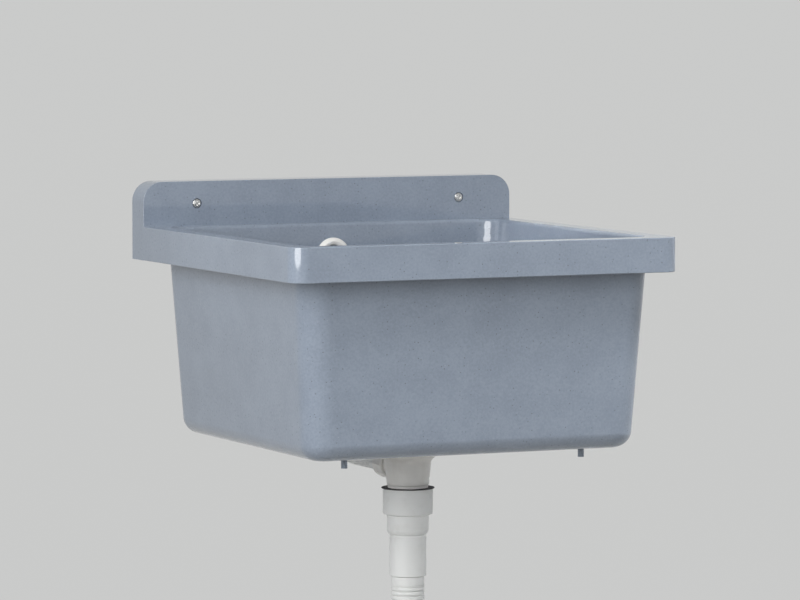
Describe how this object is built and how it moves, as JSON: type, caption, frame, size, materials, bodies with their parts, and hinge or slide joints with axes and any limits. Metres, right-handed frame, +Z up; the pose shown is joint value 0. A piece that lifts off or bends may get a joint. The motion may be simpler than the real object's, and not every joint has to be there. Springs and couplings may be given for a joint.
{
  "type": "wall-mounted sink",
  "caption": "Square moulded wall sink with a raised splashback, screwed to the wall, with an overflow, a plugged strainer waste and a ribbed drain hose.",
  "frame": {"origin": "midway between the two wall fixings, on the surface of the wall", "axes": "+Y into the wall along the fixings, +X to the right along the wall, +Z up; the bowl stands out towards -Y"},
  "size_m": [0.4, 0.444, 0.663],
  "materials": {
    "speckled_moulding": "satin blue-grey moulding with fine dark specks",
    "screw_steel": "bright zinc-plated steel",
    "white_plastic": "satin white moulded plastic",
    "white_hose": "soft satin white plastic",
    "black_rubber": "matt black rubber",
    "strainer_steel": "pressed stainless steel"
  },
  "bodies": {
    "sink": {"basin": "speckled_moulding", "wall_screws": "screw_steel", "overflow_cover": "white_plastic", "overflow_screw": "screw_steel", "overflow_gasket": "black_rubber", "overflow_elbow": "white_plastic", "elbow_nut": "white_plastic", "elbow_seal": "black_rubber", "overflow_hose": "white_hose", "branch_nut": "white_plastic", "branch_seal": "black_rubber", "drain_strainer": "strainer_steel", "strainer_screw": "screw_steel", "flange_seal": "black_rubber", "waste_gasket": "black_rubber", "waste_body": "white_plastic", "lip_seal": "black_rubber", "hose_cuff": "white_hose", "drain_hose": "white_hose"},
    "hose_end": {"end_spigot": "white_hose"},
    "plug": {"drain_plug": "black_rubber"},
    "ring": {"pull_ring": "strainer_steel"}
  },
  "joints": [
    {"name": "hose_stretch", "type": "slide", "parent": "sink", "child": "hose_end", "axis": [0, 0, -1], "range_m": [0, 0.25], "deforming": ["drain_hose"]},
    {"name": "plug_lift", "type": "slide", "parent": "sink", "child": "plug", "axis": [0, 0, 1], "range_m": [0, 0.05]},
    {"name": "ring_flip", "type": "hinge", "parent": "plug", "child": "ring", "pos_m": [0, -0.216, -0.2105], "axis": [-1, 0, 0], "range_deg": [0, 190]}
  ]
}
